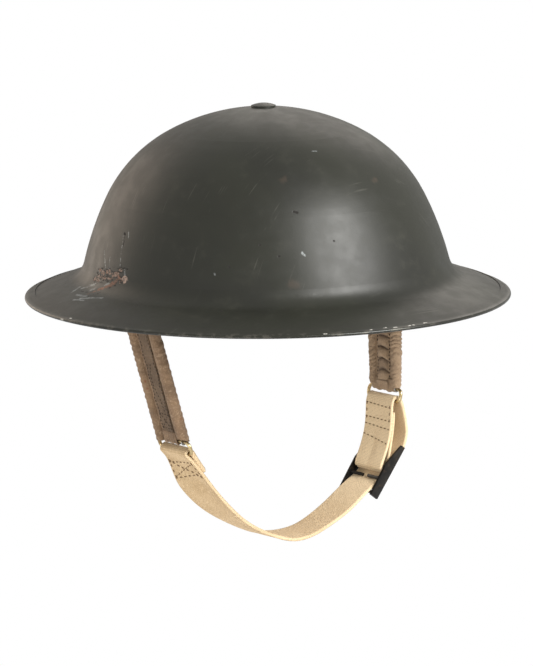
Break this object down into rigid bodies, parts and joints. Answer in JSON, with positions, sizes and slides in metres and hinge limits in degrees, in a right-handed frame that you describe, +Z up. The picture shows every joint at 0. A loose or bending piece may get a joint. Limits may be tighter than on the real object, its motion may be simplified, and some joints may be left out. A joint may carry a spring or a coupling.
{
  "type": "steel brimmed combat helmet",
  "caption": "Pressed steel helmet with a shallow bowl, wide drooping brim and folded rim band, fibre liner with rubber pads, and a sprung webbing chin strap on swivelling lugs.",
  "frame": {"origin": "middle of the flat underside of the crown pad, where the helmet rests on the head", "axes": "+Z up out of the crown, -Y to the front of the helmet, +X to the wearer's left"},
  "size_m": [0.2896, 0.3056, 0.2729],
  "materials": {
    "shell_paint": "satin dark olive paint with rust and scuffs",
    "rim_paint": "dark olive paint, worn to bright chips",
    "bolt_paint": "dark olive paint",
    "brass_parts": "dull, tarnished",
    "liner_fibre": "brown vulcanised fibre",
    "sweatband_leathercloth": "dark leathercloth",
    "liner_rubber": "aged matt rubber",
    "lug_steel": "dull plated steel",
    "cover_cloth": "brown cotton, rust spotted",
    "spring_steel": "dull steel wire",
    "webbing_cotton": "cream cotton webbing",
    "buckle_black": "black japanned steel"
  },
  "bodies": {
    "helmet": {"shell": "shell_paint", "rim_band": "rim_paint", "crown_bolt": "bolt_paint", "crown_washer": "brass_parts", "crown_nut": "brass_parts", "liner_cross": "liner_fibre", "headband": "liner_fibre", "sweatband": "sweatband_leathercloth", "crown_pad": "liner_rubber", "rubber_buffers": "liner_rubber", "liner_rivets": "brass_parts", "lug_rivets": "lug_steel", "lug_spacers": "lug_steel"},
    "strap_lugs": {"left_lug_clip": "lug_steel", "right_lug_clip": "lug_steel"},
    "right_side": {"right_bail": "lug_steel", "right_side_cover": "cover_cloth", "right_springs": "spring_steel"},
    "right_end": {"right_ring": "brass_parts"},
    "chin": {"chin_webbing": "webbing_cotton", "slide_buckle": "buckle_black"},
    "left_side": {"left_bail": "lug_steel", "left_side_cover": "cover_cloth", "left_springs": "spring_steel"},
    "left_end": {"left_ring": "brass_parts"}
  },
  "joints": [
    {"name": "strap_swing", "type": "hinge", "parent": "helmet", "child": "strap_lugs", "pos_m": [0, 0, -0.07849], "axis": [1, 0, 0], "range_deg": [-55, 55]},
    {"name": "right_sway", "type": "hinge", "parent": "strap_lugs", "child": "right_side", "pos_m": [-0.10017, 0, -0.08749], "axis": [0, 1, 0], "range_deg": [-10, 10]},
    {"name": "right_stretch", "type": "slide", "parent": "right_side", "child": "right_end", "axis": [0, 0, -1], "range_m": [0, 0.015], "stiffness_N_per_m": 250, "springref_m": -0.01, "deforming": ["right_side_cover", "right_springs"]},
    {"name": "chin_turn", "type": "hinge", "parent": "right_end", "child": "chin", "pos_m": [-0.07277, 0, -0.18699], "axis": [0, 1, 0], "range_deg": [-12.5, 12.5]},
    {"name": "left_sway", "type": "hinge", "parent": "strap_lugs", "child": "left_side", "pos_m": [0.10017, 0, -0.08749], "axis": [0, 1, 0], "range_deg": [-11, 11]},
    {"name": "left_stretch", "type": "slide", "parent": "left_side", "child": "left_end", "axis": [0, 0, -1], "range_m": [0, 0.015], "stiffness_N_per_m": 250, "springref_m": -0.01, "deforming": ["left_side_cover", "left_springs"]}
  ],
  "couplings": [
    {"joint": "left_sway", "follows": "right_sway", "ratio": 1.084},
    {"joint": "chin_turn", "follows": "right_sway", "ratio": -1.1943},
    {"joint": "left_stretch", "follows": "right_stretch", "ratio": 1}
  ]
}
